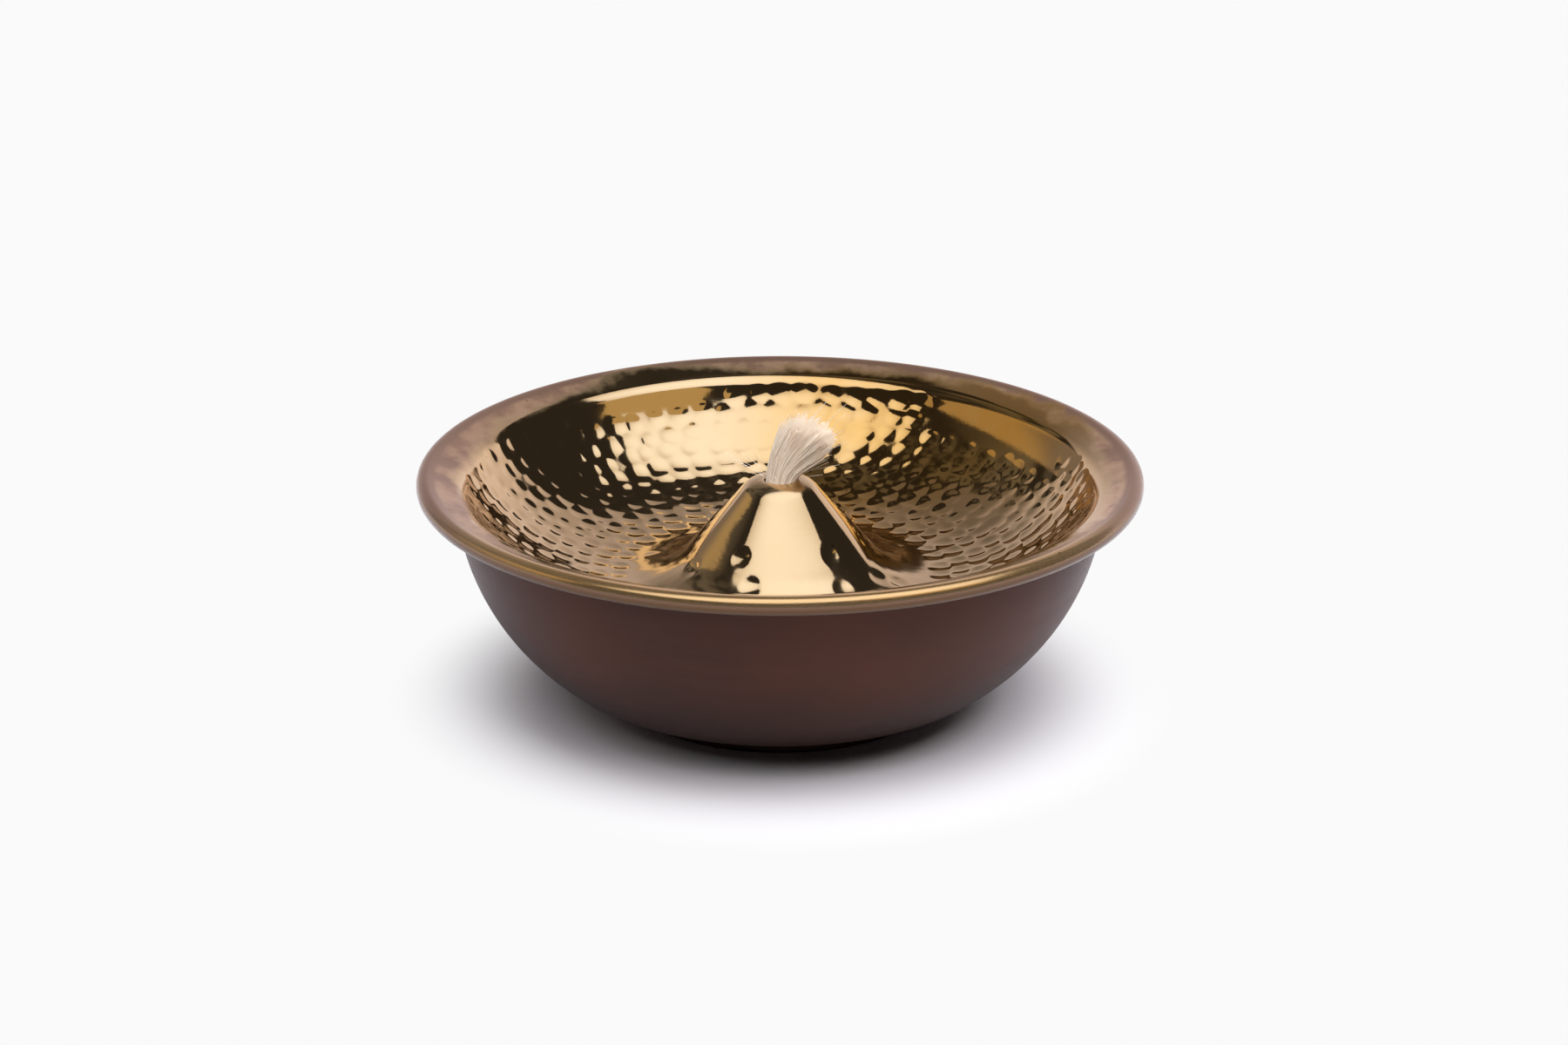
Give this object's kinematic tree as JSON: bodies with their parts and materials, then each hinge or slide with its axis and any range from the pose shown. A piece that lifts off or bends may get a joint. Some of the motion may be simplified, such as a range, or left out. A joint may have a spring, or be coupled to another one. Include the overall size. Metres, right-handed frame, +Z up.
{
  "type": "butter lamp",
  "caption": "Round brass butter lamp: a footed reservoir bowl, a lift-off hammered dish with a rolled rim and a raised cone, and a cotton wick that stands in the cone's crown.",
  "frame": {"origin": "on the table, under the middle of the foot ring", "axes": "+Z up along the axis of the bowl and dish, +X to the right in the picture, +Y away from its viewer"},
  "size_m": [0.12, 0.12, 0.0481],
  "materials": {
    "patinated_brass": "dark brown satin patina",
    "hammered_brass": "polished and hammered, lightly tarnished",
    "cotton": "loose cotton fibre"
  },
  "bodies": {
    "bowl": {"reservoir_bowl": "patinated_brass", "foot_ring": "patinated_brass"},
    "dish": {"hammered_dish": "hammered_brass"},
    "wick": {"wick_cord": "cotton", "wick_tuft": "cotton"}
  },
  "joints": [
    {"name": "dish_lift", "type": "slide", "parent": "bowl", "child": "dish", "axis": [0, 0, 1], "range_m": [0, 0.05]},
    {"name": "wick_feed", "type": "slide", "parent": "dish", "child": "wick", "axis": [0, 0, 1], "range_m": [0, 0.008]}
  ]
}
